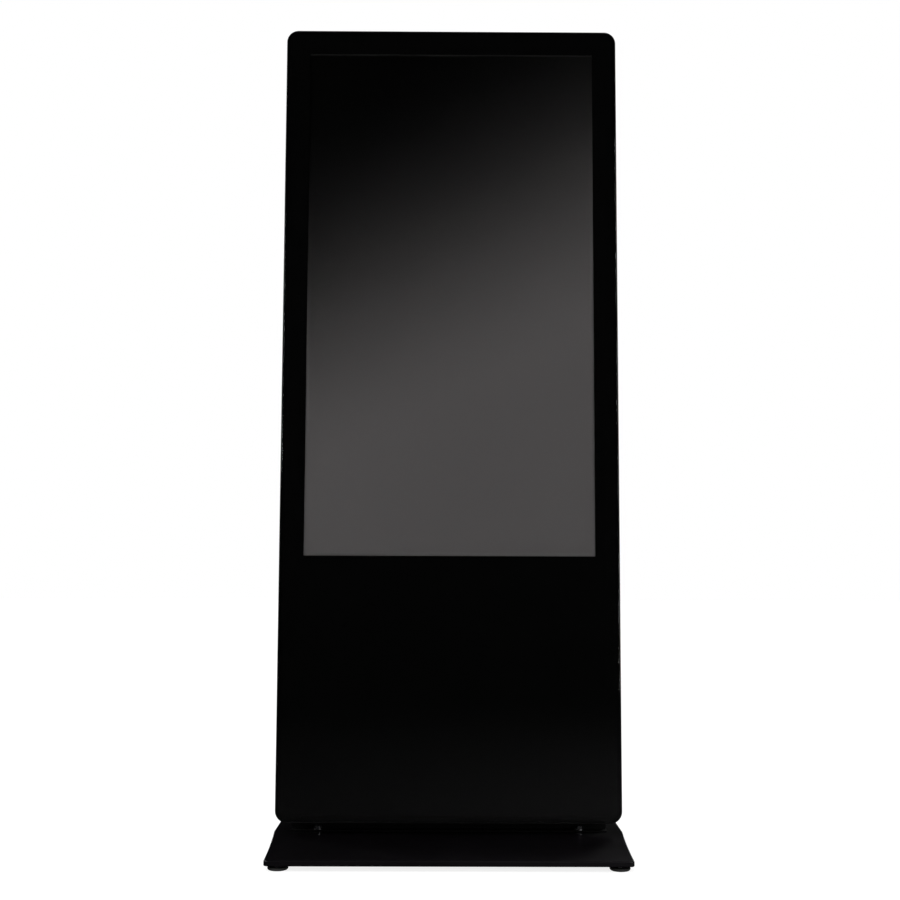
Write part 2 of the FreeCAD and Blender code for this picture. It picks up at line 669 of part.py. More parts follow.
def make_controls():
    face = IO_Y + IO_T
    inlet_xc = (INLET_X + ROCKER_X) / 2 - 1
    plate = centred_box(0, 2 * IO_HALF_W, IO_Y, face, IO_Z, 2 * IO_HALF_H)
    plate = plate.cut(centred_box(inlet_xc, INLET_W, IO_Y, face, IO_Z, INLET_H))
    plate = plate.cut(centred_box(PORTS_X, PORTS_W + 0.4, IO_Y, face, IO_Z, PORTS_H + 0.4))
    add("io_panel", drill(plate, [(BUTTON_X, IO_Z)], BUTTON_R + 0.1, IO_Y - 1, face + 1))
    make_inlet(inlet_xc, face)
    make_button(face)
    make_ports(face)


def make_inlet(xc, face):
    """Mains inlet: a socket with three contacts, and a rocker switch beside it."""
    bezel_t = 1.6
    bezel_over = 3.0
    socket_w = 25.0
    socket_h = 17.0
    socket_y = 98.0
    well_y = 101.0
    key_w = 12.0
    key_h = 18.6
    key_back_h = 16.0
    key_depth = 6.0
    key_rise = 2.6
    key_dip = 1.2
    pivot_r = 1.5
    pivot_over = 2.0
    front = face + bezel_t

    body = centred_box(xc, INLET_W - 0.4, INLET_Y, face, IO_Z, INLET_H - 0.4)
    bezel = centred_box(xc, INLET_W + 2 * bezel_over, face, front, IO_Z, INLET_H + 2 * bezel_over)
    bezel = bezel.makeFillet(bezel_over, straight_edges(bezel, Y_DIR))
    socket = centred_box(INLET_X, socket_w, socket_y, front, IO_Z, socket_h)
    socket = socket.makeFillet(3.0, straight_edges(socket, Y_DIR))
    well = centred_box(ROCKER_X, key_w + 0.8, well_y, front, IO_Z, key_h + 3.6)
    pivot = V(ROCKER_X - key_w / 2 - pivot_over, ROCKER_Y, IO_Z)
    module = fuse([body, bezel])
    for cutter in (socket, well, rod(pivot_r + RUNNING, key_w + 2 * pivot_over, pivot, X_DIR)):
        module = module.cut(cutter)
    blades = [centred_box(INLET_X + x, 2.0, socket_y - 2, socket_y + 8, IO_Z + z, 4.0)
              for x, z in ((-7.0, -2.0), (7.0, -2.0), (0.0, 3.0))]
    add("inlet_module", fuse([module] + blades))

    outline = [V(0, -key_depth, -key_back_h / 2), V(0, -key_depth, key_back_h / 2),
               V(0, key_rise, key_h / 2), V(0, key_dip, 0), V(0, key_rise, -key_h / 2)]
    corner = V(ROCKER_X - key_w / 2, ROCKER_Y, IO_Z)
    key = prism([corner + p for p in outline], V(key_w, 0, 0))
    key = fuse([key, rod(pivot_r, key_w + 2 * pivot_over - 1, pivot + V(0.5, 0, 0), X_DIR)])
    key.rotate(corner, X_DIR, -ROCKER_TILT)
    add("rocker_key", key)


def make_button(face):
    """A push button with a collar that keeps it behind the panel."""
    cap_l = 8.0
    stands_out = 2.8
    collar_t = 2.2
    cap = rod(BUTTON_R, cap_l, V(BUTTON_X, face + stands_out - cap_l, IO_Z), Y_DIR)
    cap = cap.makeFillet(0.8, [max(cap.Edges, key=lambda e: e.BoundBox.YMin)])
    collar = rod(BUTTON_R + 1.6, collar_t, V(BUTTON_X, IO_Y - collar_t - 1, IO_Z), Y_DIR)
    add("power_button", fuse([cap, collar]))


def make_ports(face):
    """One block with a network socket and two data sockets."""
    sockets_y = 101.0
    front = face + 0.6
    block = centred_box(PORTS_X, PORTS_W, PORTS_Y, front, IO_Z, PORTS_H)
    block = block.cut(centred_box(PORTS_X - 20, 12.0, sockets_y, front, IO_Z, 11.0))
    for x in (2.0, 20.0):
        block = block.cut(centred_box(PORTS_X + x, 13.2, sockets_y, front, IO_Z, 6.0))
    add("port_block", block)


# ---------------------------------------------------------------- inside

def standoffs(xc, zc, width, height, y0, y1):
    """Four round posts near the corners of a board or box."""
    inset = 8.0
    radius = 3.5
    return [rod(radius, y1 - y0, V(xc + sx * (width / 2 - inset), y0, zc + sz * (height / 2 - inset)), Y_DIR)
            for sx in (-1, 1) for sz in (-1, 1)]


def make_inside():
    make_equipment_plate()
    make_player()
    make_supply()
    make_boards()
    make_speakers()
    make_fans()
    make_loom()


def make_equipment_plate():
    """A sheet across the masts, folded back along both sides, that carries the units."""
    half = MAST_X - MAST_W / 2 - 0.5
    margin = 10.0
    ear = 20.0
    z0 = DOOR_Z0 + margin
    z1 = DOOR_Z1 - margin
    web = box(-half, half, FRAME_DEPTH, SEAT_Y, z0, z1)
    ears = [box(*sorted((s * half, s * (half - SHEET))), FRAME_DEPTH, FRAME_DEPTH + ear, z0, z1) for s in (-1, 1)]
    add("equipment_plate", fuse([web] + ears))


def make_player():
    """The media player: a case with cooling fins on its back."""
    lift = 4.0
    case_t = 28.0
    fin_t = 3.0
    fin_h = 6.0
    fin_pitch = 10.0
    top = SEAT_Y + lift + case_t
    case = centred_box(PLAYER_X, PLAYER_W, SEAT_Y + lift, top, PLAYER_Z, PLAYER_H)
    case = case.makeFillet(3.0, straight_edges(case, Y_DIR))
    fins = [centred_box(PLAYER_X, PLAYER_W - 30, top - 1, top + fin_h, PLAYER_Z + fin_pitch * i, fin_t)
            for i in range(-6, 7)]
    posts = standoffs(PLAYER_X, PLAYER_Z, PLAYER_W, PLAYER_H, SEAT_Y, SEAT_Y + lift + 1)
    add("media_player", fuse([case] + fins + posts))


def make_supply():
    """The power supply: a flat case with its terminal strip along the lower edge."""
    lift = 2.0
    case_t = 38.0
    strip_t = 20.0
    case = centred_box(SUPPLY_X, SUPPLY_W, SEAT_Y + lift, SEAT_Y + lift + case_t, SUPPLY_Z, SUPPLY_H)
    strip = box(SUPPLY_X - SUPPLY_W / 2 + 30, SUPPLY_X + SUPPLY_W / 2 - 30, SEAT_Y + lift, SEAT_Y + lift + strip_t,
                SUPPLY_STRIP_Z, SUPPLY_Z)
    posts = standoffs(SUPPLY_X, SUPPLY_Z, SUPPLY_W, SUPPLY_H, SEAT_Y, SEAT_Y + lift + 1)
    add("power_supply", fuse([case, strip] + posts))


def make_boards():
    """The touch controller on the equipment plate, and the display's board on its tray."""
    board_t = 1.6
    lift = 6.0
    back = SEAT_Y + lift + board_t
    board = centred_box(TOUCH_X, TOUCH_W, SEAT_Y + lift, back, TOUCH_Z, TOUCH_H)
    chip = centred_box(TOUCH_X, 16.0, back - 0.5, back + 2, TOUCH_Z, 16.0)
    plug = centred_box(TOUCH_X, 50.0, back - 0.5, back + 5.5, TOUCH_Z + TOUCH_H / 2 - 6, 8.0)
    posts = standoffs(TOUCH_X, TOUCH_Z, TOUCH_W, TOUCH_H, SEAT_Y, SEAT_Y + lift + 1)
    add("touch_controller", fuse([board, chip, plug] + posts))

    width = 230.0
    height = 160.0
    z = 1080.0
    lift = 8.0
    back = TRAY_Y1 + lift + board_t
    board = centred_box(0, width, TRAY_Y1 + lift, back, z, height)
    sink = centred_box(-30, 50.0, back - 0.5, TRAY_Y1 + 24, z, 50.0)
    coils = [rod(9.0, 16.0, V(50 + 25 * i, back - 0.5, z + 45), Y_DIR) for i in range(3)]
    plugs = [centred_box(-70 + 45 * i, 34.0, back - 0.5, back + 7.5, z - 70, 10.0) for i in range(4)]
    posts = standoffs(0, z, width, height, TRAY_Y1, TRAY_Y1 + lift + 1)
    add("control_board", fuse([board, sink] + coils + plugs + posts))


def make_speakers():
    """Two boxed speakers that face the grilles at the back."""
    case_w = 100.0
    case_h = 76.0
    case_y = 66.0
    face = HOUSING_Y - SHEET - 1.0
    cone_depth = 14.0
    for name, side in (("left", -1), ("right", 1)):
        x = side * SPEAKER_X
        case = centred_box(x, case_w, case_y, face, SPEAKER_Z, case_h)
        case = case.makeFillet(5.0, straight_edges(case, Y_DIR))
        deep = V(x, face - cone_depth, SPEAKER_Z)
        cone = Part.makeCone(10.0, 30.0, cone_depth, deep, Y_DIR)
        cap = Part.makeSphere(9.0, deep)
        add("speaker_" + name, fuse([case.cut(cone), cap.common(case)]))


def make_fans():
    y0 = FAN_Y1 - FAN_DEPTH
    hub_r = 18.0
    hub_l = 18.0
    hub_y = y0 + 3.5
    bore_r = FAN_SIZE / 2 - 3.0
    tip_r = bore_r - 1.5
    shaft_r = 2.0
    strut = 4.0
    strut_t = 3.0
    count = 7
    blade_t = 1.5
    blade_half = 13.0
    blade_pitch = 28
    mid_y = hub_y + hub_l / 2
    for name, side in (("left", -1), ("right", 1)):
        x = side * FAN_X
        centre = V(x, 0, FAN_Z)

        def along(radius, start, length):
            return rod(radius, length, centre + V(0, start, 0), Y_DIR)

        frame = centred_box(x, FAN_SIZE, y0, FAN_Y1, FAN_Z, FAN_SIZE)
        frame = frame.makeFillet(6.0, straight_edges(frame, Y_DIR)).cut(along(bore_r, y0, FAN_DEPTH))
        struts = [centred_box(x, 2 * bore_r + 2, y0, y0 + strut_t, FAN_Z, strut),
                  centred_box(x, strut, y0, y0 + strut_t, FAN_Z, 2 * bore_r + 2)]
        frame = fuse([frame, along(hub_r, y0, strut_t)] + struts)
        add("fan_frame_" + name, frame.cut(along(shaft_r + RUNNING, y0, strut_t)))

        blades = []
        for i in range(count):
            blade = box(x + hub_r - 2, x + tip_r, mid_y - blade_t / 2, mid_y + blade_t / 2,
                        FAN_Z - blade_half, FAN_Z + blade_half)
            blade.rotate(V(x, mid_y, FAN_Z), X_DIR, blade_pitch)
            blade.rotate(centre, Y_DIR, 360 / count * i)
            blades.append(blade.common(along(tip_r, hub_y, hub_l)))
        add("fan_rotor_" + name, fuse([along(hub_r, hub_y, hub_l), along(shaft_r, y0 + 0.5, 5.0)] + blades))


def cable(points, radius):
    """A round cable: straight runs joined by tangent arcs as large as the runs allow."""
    edges = []
    start = points[0]
    for before, here, after in zip(points, points[1:], points[2:]):
        back = before.sub(here)
        ahead = after.sub(here)
        run = 0.45 * min(back.Length, ahead.Length)
        back.normalize()
        ahead.normalize()
        a = here + back * run
        b = here + ahead * run
        half_turn = (math.pi - back.getAngle(ahead)) / 2
        bend_r = run / math.tan(half_turn)
        centre_dir = (back + ahead).normalize()
        middle = here + centre_dir * (bend_r / math.cos(half_turn) - bend_r)
        edges.append(Part.makeLine(start, a))
        edges.append(Part.Arc(a, middle, b).toShape())
        start = b
    edges.append(Part.makeLine(start, points[-1]))
    path = Part.Wire(edges)
    section = Part.Wire(Part.makeCircle(radius, points[0], points[1].sub(points[0])))
    return path.makePipeShell([section], True, False)


def make_loom():
    """Mains, data and touch cables between the units in the service space."""
    seam = 0.2
    mains_y = SEAT_Y + 8.5
    data_y = SEAT_Y + 16.5
    supply_end = SUPPLY_STRIP_Z - seam
    player_end = PLAYER_Z - PLAYER_H / 2 - seam
    touch_end = TOUCH_Z + TOUCH_H / 2 + seam
    mains = cable([V(-66, INLET_Y - seam, IO_Z - 5), V(-66, 70, IO_Z - 5), V(-40, 58, 130), V(0, mains_y, 200),
                   V(20, mains_y, 300), V(60, mains_y, 390), V(60, mains_y, supply_end)], 3.5)
    data = cable([V(60, PORTS_Y - seam, IO_Z), V(60, 72, IO_Z), V(40, data_y, 140), V(-20, data_y, 220),
                  V(-60, data_y, 330), V(-90, 60, 400), V(-90, 60, player_end)], 2.5)
    touch = cable([V(-200, 55, touch_end), V(-200, 56, 415), V(-200, 58, player_end)], 1.5)
    add("wiring_loom", Part.makeCompound([mains, data, touch]))


# ---------------------------------------------------------------- base

def plinth_mid_y():
    return (PLINTH_Y[1] + PLINTH_Y[2]) / 2


def base_outline():
    """Plan of the base plate: straight front, gently waisted sides, straight rear."""
    front = -PLATE_DEPTH / 2
    rear = PLATE_DEPTH / 2
    middle = (front + PLATE_FLARE_END) / 2

    def point(half, y):
        return V(half, y, FOOT_VISIBLE)

    edges = [Part.makeLine(point(-PLATE_FRONT_HALF, front), point(PLATE_FRONT_HALF, front)),
             Part.Arc(point(PLATE_FRONT_HALF, front), point(PLATE_WAIST_HALF, middle),
                      point(PLATE_REAR_HALF, PLATE_FLARE_END)).toShape(),
             Part.makeLine(point(PLATE_REAR_HALF, PLATE_FLARE_END), point(PLATE_REAR_HALF, rear)),
             Part.makeLine(point(PLATE_REAR_HALF, rear), point(-PLATE_REAR_HALF, rear)),
             Part.makeLine(point(-PLATE_REAR_HALF, rear), point(-PLATE_REAR_HALF, PLATE_FLARE_END)),
             Part.Arc(point(-PLATE_REAR_HALF, PLATE_FLARE_END), point(-PLATE_WAIST_HALF, middle),
                      point(-PLATE_FRONT_HALF, front)).toShape()]
    return Part.Face(Part.Wire(edges))


def make_base():
    plate = base_outline().extrude(V(0, 0, PLATE_T))
    corners = [e for e in straight_edges(plate, Z_DIR)
               if abs(abs(e.Vertexes[0].Point.y) - PLATE_DEPTH / 2) < 1e-3]
    plate = plate.makeFillet(PLATE_CORNER_R, corners)
    top_edges = [e for e in plate.Edges if e.BoundBox.ZMin > PLATE_TOP - 1e-3]
    plate = plate.makeFillet(PLATE_EDGE_R, top_edges)
    low_edges = [e for e in plate.Edges if e.BoundBox.ZMax < FOOT_VISIBLE + 1e-3]
    plate = plate.makeChamfer(1.0, low_edges)
    bolt_hole = PLATE_T - 1
    holes = [rod(BOLT_R + RUNNING, bolt_hole, V(x, y, PLATE_TOP - bolt_hole), Z_DIR)
             for x, y in plinth_bolt_places()]
    holes += [rod(FOOT_STUD_R + RUNNING, FOOT_HOLE_TOP - FOOT_VISIBLE, V(x, y, FOOT_VISIBLE), Z_DIR)
              for x, y in foot_places().values()]
    add("base_plate", plate.cut(Part.makeCompound(holes)))

    nuts = []
    nut_z = FOOT_VISIBLE - 0.1 - FOOT_NUT_T
    for name, (x, y) in foot_places().items():
        add("foot_" + name, make_foot(x, y))
        nut = hexagon(FOOT_NUT_AF, FOOT_NUT_T, V(x, y, nut_z), Z_DIR)
        nuts.append(nut.cut(rod(FOOT_STUD_R + RUNNING, FOOT_NUT_T, V(x, y, nut_z), Z_DIR)))
    add("foot_lock_nuts", Part.makeCompound(nuts))


def foot_places():
    return {"front_left": (-FOOT_X, -FOOT_Y), "front_right": (FOOT_X, -FOOT_Y),
            "rear_left": (-FOOT_X, FOOT_Y), "rear_right": (FOOT_X, FOOT_Y)}


def make_foot(x, y):
    """A screw-in levelling foot: a round pad with a threaded stud."""
    pad = rod(FOOT_R, FOOT_PAD, V(x, y, 0), Z_DIR)
    low = [e for e in pad.Edges if e.BoundBox.ZMax < 1e-3]
    pad = pad.makeFillet(4.2, low)
    high = [e for e in pad.Edges if e.BoundBox.ZMin > FOOT_PAD - 1e-3]
    pad = pad.makeFillet(1.2, high)
    sunk = 2.0
    stud = rod(FOOT_STUD_R, FOOT_HOLE_TOP - 0.5 - FOOT_PAD + sunk, V(x, y, FOOT_PAD - sunk), Z_DIR)
    return fuse([pad, stud])


def plinth_bolt_places():
    return [(s * PLINTH_BOLT_X, y) for y in PLINTH_BOLT_Y for s in (-1, 1)]


def make_plinth():
    front, leg_front, leg_rear, rear = PLINTH_Y
    z0 = PLATE_TOP
    z1 = PAN_Z0
    t = PLINTH_T
    outline = [(front, z0), (leg_front + t, z0), (leg_front + t, z1 - t), (leg_rear - t, z1 - t),
               (leg_rear - t, z0), (rear, z0), (rear, z0 + t), (leg_rear, z0 + t), (leg_rear, z1),
               (leg_front, z1), (leg_front, z0 + t), (front, z0 + t)]
    plinth = prism([V(-PLINTH_HALF, y, z) for y, z in outline], V(2 * PLINTH_HALF, 0, 0))
    bends = [e for e in straight_edges(plinth, X_DIR)
             if leg_front - 1 < e.Vertexes[0].Point.y < leg_rear + 1]
    plinth = plinth.makeFillet(1.8, bends)
    holes = [rod(BOLT_R + 0.5, 2 * t, V(x, y, z0 - 1), Z_DIR) for x, y in plinth_bolt_places()]
    pan_places = [(s * PAN_BOLT_X, plinth_mid_y()) for s in (-1, 1)]
    holes += [rod(BOLT_R + 0.5, 2 * t, V(x, y, z1 - t - 1), Z_DIR) for x, y in pan_places]
    add("plinth", plinth.cut(Part.makeCompound(holes)))

    fixings = []
    for x, y in plinth_bolt_places():
        fixings += bolt_with_washer(V(x, y, z0 + t), Z_DIR)
    for x, y in pan_places:
        fixings += bolt_with_washer(V(x, y, z1 - t), V(0, 0, -1))
    add("plinth_bolts", Part.makeCompound(fixings))


def bolt_with_washer(seat, direction):
    """A hexagon bolt and its washer; the head stands along direction from the seat."""
    washer = rod(WASHER_R, WASHER_T, seat, direction).cut(
        rod(BOLT_R + 0.3, WASHER_T + 2, seat - direction, direction))
    head_seat = seat + direction * (WASHER_T + 0.02)
    head = hexagon(BOLT_AF, BOLT_HEAD, head_seat, direction)
    head = head.common(Part.makeCone(BOLT_AF * 0.62, BOLT_AF * 0.46, BOLT_HEAD, head_seat, direction))
    body = rod(BOLT_R, BOLT_L + 1, seat - direction * (BOLT_L - WASHER_T), direction)
    return [washer, fuse([head, body])]


def main():
    make_front()
    make_display()
    make_frame()
    make_structure()
    make_back()
    make_door()
    make_controls()
    make_inside()
    make_base()
    make_plinth()
    os.makedirs("parts", exist_ok=True)
    for name, shape in PARTS.items():
        if not shape.isValid():
            print("invalid shape:", name)
        shape.exportStep("parts/" + name + ".step")
    print(len(PARTS), "nodes")


main()
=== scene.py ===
"""Looks of the floor-standing touchscreen kiosk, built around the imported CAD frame.

Metres, +Z up, the glass front faces -Y. Every made mesh has its vertices in the row frame.
"""
import bpy
import bmesh
import json
import math
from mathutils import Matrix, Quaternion, Vector


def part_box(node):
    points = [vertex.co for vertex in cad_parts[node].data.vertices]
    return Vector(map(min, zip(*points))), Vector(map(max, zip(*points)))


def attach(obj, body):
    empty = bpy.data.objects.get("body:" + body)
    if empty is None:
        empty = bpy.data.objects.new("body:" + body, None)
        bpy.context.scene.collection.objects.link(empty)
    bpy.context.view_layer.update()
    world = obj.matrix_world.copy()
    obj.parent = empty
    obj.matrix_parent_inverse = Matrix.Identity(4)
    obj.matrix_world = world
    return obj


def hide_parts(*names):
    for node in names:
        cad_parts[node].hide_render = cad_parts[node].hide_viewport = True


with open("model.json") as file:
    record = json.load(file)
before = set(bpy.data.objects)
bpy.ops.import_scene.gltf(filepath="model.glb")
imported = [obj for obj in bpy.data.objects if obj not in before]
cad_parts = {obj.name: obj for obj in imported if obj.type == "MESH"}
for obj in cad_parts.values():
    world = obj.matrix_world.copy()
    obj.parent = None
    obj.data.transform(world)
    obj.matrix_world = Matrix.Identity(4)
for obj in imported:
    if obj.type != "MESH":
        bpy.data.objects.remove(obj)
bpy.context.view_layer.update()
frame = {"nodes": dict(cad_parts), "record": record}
nodes = frame["nodes"]
scene = bpy.context.scene

MM = 0.001
GLASS_CORNER = 24.6 * MM
GLASS_EDGE = 1.8 * MM
PRINT_CORNER = 24.3 * MM
WINDOW_SIZE = (0.6804, 1.2096)

# The painted gradient of the display face. It follows height less FADE_SLANT times x, in metres.
FADE_SLANT = 0.51
FADE_DARK = 1.9416
FADE_FULL = 1.0121
FADE_FLOOR = 0.119
FADE_POWER = 2.38
DISPLAY_GREY = (0.0748, 0.0690, 0.0728)
# Bands along the window's edges, in metres. The side and foot lifts are painted light against the print's
# shade; the top line is a painted light line.
SIDE_LIFT = (0.331, 0.3402)
FOOT_LIFT = (0.669, 0.661)
TOP_LINE = (1.8672, 1.8692)

# The camera, in metres, millimetres of lens and degrees.
CAMERA_AT = (-0.016, -2.986, 0.624)
CAMERA_LENS = 51.12
CAMERA_PITCH = 5.44
CAMERA_TURN = 0.31
CAMERA_ROLL = 0.2


# ---------------------------------------------------------------- node helpers

def new_material(name):
    material = bpy.data.materials.new(name)
    material.use_nodes = True
    tree = material.node_tree
    tree.nodes.clear()
    return material, tree


def node(tree, kind, inputs=None, **settings):
    """A shader node with its settings and socket values; a value that is a socket gets linked."""
    made = tree.nodes.new(kind)
    for key, value in settings.items():
        setattr(made, key, value)
    for key, value in (inputs or {}).items():
        if isinstance(value, bpy.types.NodeSocket):
            tree.links.new(value, made.inputs[key])
        else:
            made.inputs[key].default_value = value
    return made


def math_node(tree, operation, a, b=0.0, clamp=False):
    return node(tree, "ShaderNodeMath", {0: a, 1: b}, operation=operation, use_clamp=clamp).outputs[0]


def rgba(color):
    return (color[0], color[1], color[2], 1.0)


def remap(tree, value, low, high, to_low, to_high, kind="LINEAR"):
    made = node(tree, "ShaderNodeMapRange", {"Value": value, "From Min": low, "From Max": high,
                                             "To Min": to_low, "To Max": to_high},
                interpolation_type=kind)
    return made.outputs["Result"]


def mix_color(tree, factor, a, b):
    made = node(tree, "ShaderNodeMix", data_type="RGBA")
    for socket, value in (("Factor_Float", factor), ("A_Color", a), ("B_Color", b)):
        target = next(s for s in made.inputs if s.identifier == socket)
        if isinstance(value, bpy.types.NodeSocket):
            tree.links.new(value, target)
        else:
            target.default_value = value
    return next(s for s in made.outputs if s.identifier == "Result_Color")


def place(tree, stretch=(1.0, 1.0, 1.0)):
    """Object coordinates in metres, stretched along the axes."""
    coords = node(tree, "ShaderNodeTexCoord").outputs["Object"]
    if stretch == (1.0, 1.0, 1.0):
        return coords
    return node(tree, "ShaderNodeMapping", {"Vector": coords, "Scale": stretch}).outputs["Vector"]


def noise(tree, scale, detail=3.0, roughness=0.55, stretch=(1.0, 1.0, 1.0)):
    """Noise from 0 to 1; scale is in cells per metre."""
    return node(tree, "ShaderNodeTexNoise", {"Vector": place(tree, stretch), "Scale": scale,
                                             "Detail": detail, "Roughness": roughness}).outputs["Fac"]


def cells(tree, scale, stretch=(1.0, 1.0, 1.0), output="Color"):
    made = node(tree, "ShaderNodeTexVoronoi", {"Vector": place(tree, stretch), "Scale": scale})
    return made.outputs[output]


def edge_wear(tree, radius):
    """0 on flat areas, rising to 1 on the outer edges of a piece, and the rounded normal."""
    soft = node(tree, "ShaderNodeBevel", {"Radius": radius}, samples=4).outputs["Normal"]
    true = node(tree, "ShaderNodeNewGeometry").outputs["Normal"]
    dot = node(tree, "ShaderNodeVectorMath", {0: soft, 1: true}, operation="DOT_PRODUCT").outputs["Value"]
    return remap(tree, dot, 0.995, 0.85, 0.0, 1.0), soft


def bump(tree, height, depth, normal=None):
    inputs = {"Height": height, "Distance": depth, "Strength": 1.0}
    if normal is not None:
        inputs["Normal"] = normal
    return node(tree, "ShaderNodeBump", inputs).outputs["Normal"]


def finish_material(tree, shader):
    out = node(tree, "ShaderNodeOutputMaterial")
    tree.links.new(shader, out.inputs["Surface"])


def coated(name, color, rough, worn=None, metallic=0.0, spread=0.25, mottle=14.0, grain=900.0,
           grain_depth=0.03 * MM, rough_spread=0.08, edge=0.5 * MM, wear=0.5, coat=0.0,
           coat_rough=0.05, specular=0.5, stretch=(1.0, 1.0, 1.0), painted_front_light=None):
    """A finished surface: mottled colour, uneven gloss, fine grain and slightly worn edges.

    A painted light lightens the plate towards its front edge, more to the right. It is painted on and
    stands for light that the satin paint catches there.
    """
    material, tree = new_material(name)
    worn = worn or tuple(min(1.0, c * 2.2 + 0.01) for c in color)
    large = noise(tree, mottle, detail=4.0)
    dark = rgba(tuple(c * (1.0 - spread) for c in color))
    light = rgba(tuple(min(1.0, c * (1.0 + spread)) for c in color))
    body = mix_color(tree, remap(tree, large, 0.3, 0.7, 0.0, 1.0), dark, light)
    # Painted light: the colour lightens towards the plate's front edge and to the right, for light the satin
    # paint catches.
    if painted_front_light:
        axes = node(tree, "ShaderNodeSeparateXYZ", {0: place(tree)})
        near = remap(tree, axes.outputs["Y"], -0.12, -0.245, 0.0, 1.0)
        near = math_node(tree, "MULTIPLY", near, remap(tree, axes.outputs["Z"], 0.019, 0.0228, 0.0, 1.0))
        share = math_node(tree, "MULTIPLY", near, remap(tree, axes.outputs["X"], -0.35, 0.3, 0.15, 1.0))
        front_light_streaks = remap(tree, noise(tree, 40.0, detail=5.0, stretch=(0.15, 1.0, 1.0)), 0.3, 0.7, 0.8, 1.0)
        body = mix_color(tree, math_node(tree, "MULTIPLY", share, front_light_streaks), body, rgba(painted_front_light))
    edges, soft = edge_wear(tree, edge)
    breakup = remap(tree, noise(tree, 160.0, detail=2.0), 0.42, 0.62, 0.15, 1.0)
    worn_share = math_node(tree, "MULTIPLY", edges, breakup)
    worn_share = math_node(tree, "MULTIPLY", worn_share, wear, clamp=True)
    body = mix_color(tree, worn_share, body, rgba(worn))
    fine = noise(tree, grain, detail=2.0, stretch=stretch)
    patches = noise(tree, mottle * 3.1, detail=3.0)
    gloss = remap(tree, patches, 0.25, 0.75, rough - rough_spread, rough + rough_spread)
    shader = node(tree, "ShaderNodeBsdfPrincipled", {
        "Base Color": body, "Roughness": gloss, "Metallic": metallic, "Coat Weight": coat,
        "Coat Roughness": coat_rough, "Specular IOR Level": specular,
        "Normal": bump(tree, fine, grain_depth, soft)})
    finish_material(tree, shader.outputs["BSDF"])
    return material


def clear_sheet(name, tint, rough, ior=1.5, low_light_veil=0.0):
    """A thin clear pane: straight through, with a mirror reflection that handling marks soften.

    A pale veil is painted on its lowest quarter metre, stronger to the right. It is painted light that stands
    for the lift that room light gives there.
    """
    material, tree = new_material(name)
    marks = noise(tree, 9.0, detail=6.0, roughness=0.65)
    haze = remap(tree, marks, 0.45, 0.75, rough, rough + 0.05)
    waves = bump(tree, noise(tree, 1.6, detail=1.0), 0.15 * MM)
    through = node(tree, "ShaderNodeBsdfTransparent", {"Color": rgba(tint)}).outputs["BSDF"]
    mirror = node(tree, "ShaderNodeBsdfGlossy", {"Color": (1, 1, 1, 1), "Roughness": haze, "Normal": waves})
    facing = node(tree, "ShaderNodeFresnel", {"IOR": ior, "Normal": waves}).outputs["Fac"]
    behind = node(tree, "ShaderNodeNewGeometry").outputs["Backfacing"]
    facing = math_node(tree, "MULTIPLY", facing, math_node(tree, "SUBTRACT", 1.0, behind))
    both = node(tree, "ShaderNodeMixShader", {0: facing, 1: through, 2: mirror.outputs["BSDF"]})
    both = both.outputs["Shader"]
    # Painted light: a pale veil over the lowest quarter metre of the glass, stronger to the right.
    if low_light_veil:
        axes = node(tree, "ShaderNodeSeparateXYZ", {0: place(tree)})
        low = remap(tree, axes.outputs["Z"], 0.29, 0.08, 0.0, low_light_veil)
        low = math_node(tree, "MULTIPLY", low, remap(tree, axes.outputs["X"], -0.3, 0.35, 0.85, 1.5))
        veil_breakup = noise(tree, 30.0, detail=5.0)
        low = math_node(tree, "MULTIPLY", low, remap(tree, veil_breakup, 0.3, 0.7, 0.93, 1.07))
        grey = node(tree, "ShaderNodeBsdfDiffuse", {"Color": rgba((0.5, 0.49, 0.49))}).outputs["BSDF"]
        both = node(tree, "ShaderNodeMixShader", {0: low, 1: both, 2: grey}).outputs["Shader"]
    finish_material(tree, both)
    return material


